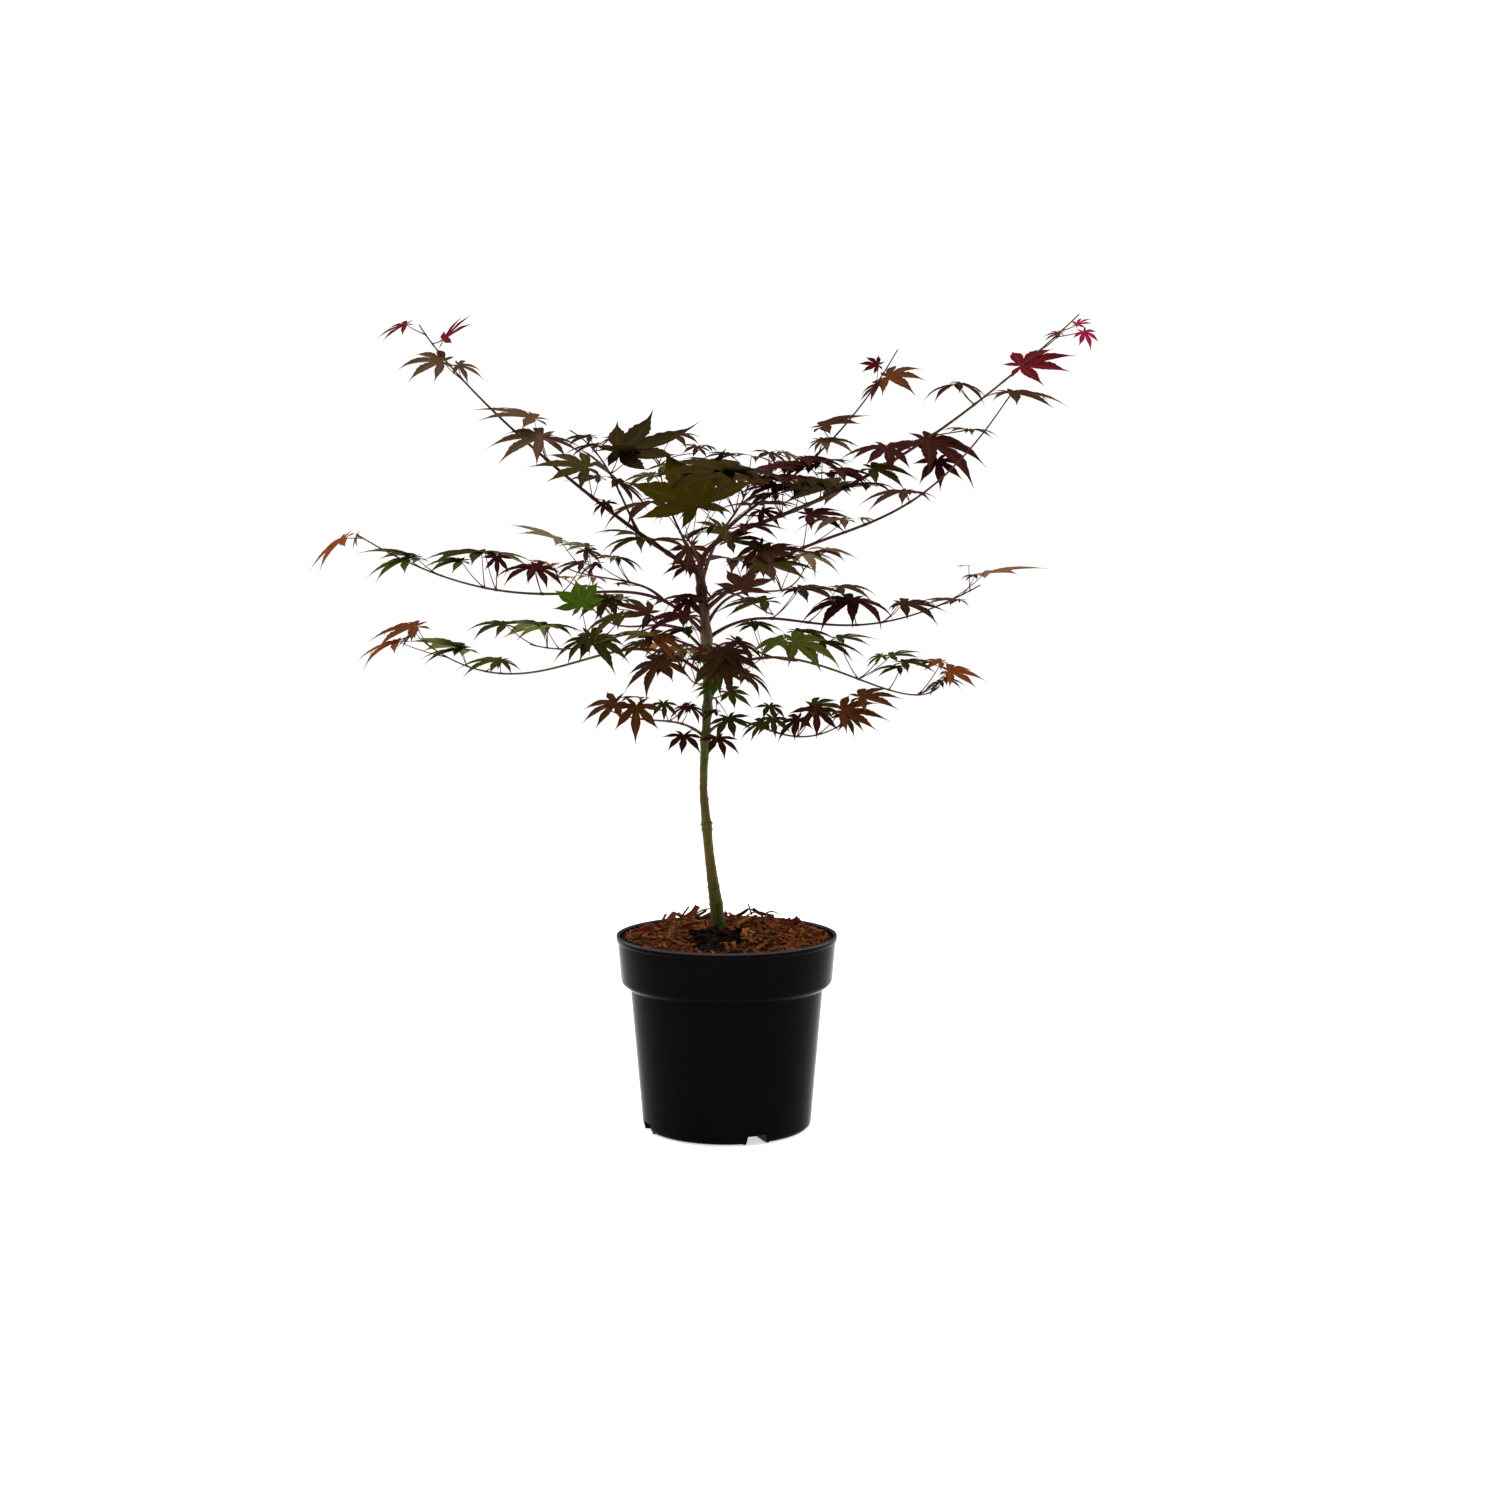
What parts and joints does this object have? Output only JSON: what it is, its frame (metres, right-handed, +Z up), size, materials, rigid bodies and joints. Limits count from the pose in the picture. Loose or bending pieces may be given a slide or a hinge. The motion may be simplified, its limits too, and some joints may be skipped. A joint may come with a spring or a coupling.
{
  "type": "potted japanese maple",
  "caption": "Young Japanese maple with deeply cut leaves on wide, arching limbs, growing from a thin leaning trunk in a round black nursery pot topped with bark chips.",
  "frame": {"origin": "middle of the pot's flat underside", "axes": "+Z up out of the pot, -Y towards the front of the plant, +X to its right seen from the front"},
  "size_m": [0.6509, 0.4269, 0.6961],
  "materials": {
    "pot": "semi-gloss black injection-moulded polypropylene",
    "bark_mulch": "rough, damp bark chips",
    "trunk_bark": "smooth green-brown bark with pale rings",
    "bough_bark": "smooth reddish-brown young bark",
    "green_leaves": "soft satin leaf",
    "olive_leaves": "soft satin leaf",
    "bronze_leaves": "soft satin leaf",
    "maroon_leaves": "soft satin leaf",
    "orange_leaves": "soft satin leaf"
  },
  "bodies": {
    "root": {"pot": "pot", "soil": "bark_mulch", "trunk": "trunk_bark", "left_leader_bough": "bough_bark", "right_leader_bough": "bough_bark", "right_spire_bough": "bough_bark", "left_inner_bough": "bough_bark", "right_sweep_bough": "bough_bark", "right_middle_bough": "bough_bark", "left_middle_bough": "bough_bark", "left_middle_side_bough": "bough_bark", "left_whip_bough": "bough_bark", "left_arch_bough": "bough_bark", "right_arch_bough": "bough_bark", "front_middle_bough": "bough_bark", "back_middle_bough": "bough_bark", "front_side_bough": "bough_bark", "back_side_bough": "bough_bark", "front_high_bough": "bough_bark", "front_crown_bough": "bough_bark", "back_crown_bough": "bough_bark", "back_leader_bough": "bough_bark", "left_leader_foliage": "bronze_leaves", "right_leader_foliage": "maroon_leaves", "right_spire_foliage": "bronze_leaves", "left_inner_foliage": "olive_leaves", "right_sweep_foliage": "maroon_leaves", "right_middle_foliage": "maroon_leaves", "left_middle_foliage": "bronze_leaves", "left_middle_side_foliage": "olive_leaves", "left_whip_foliage": "green_leaves", "left_arch_foliage": "olive_leaves", "right_arch_foliage": "green_leaves", "left_foot_foliage": "orange_leaves", "right_foot_foliage": "green_leaves", "front_foot_foliage": "green_leaves", "back_foot_foliage": "olive_leaves", "front_middle_foliage": "orange_leaves", "back_middle_foliage": "bronze_leaves", "front_side_foliage": "bronze_leaves", "back_side_foliage": "maroon_leaves", "front_high_foliage": "maroon_leaves", "front_crown_foliage": "olive_leaves", "back_crown_foliage": "maroon_leaves", "back_leader_foliage": "bronze_leaves"}
  },
  "joints": []
}
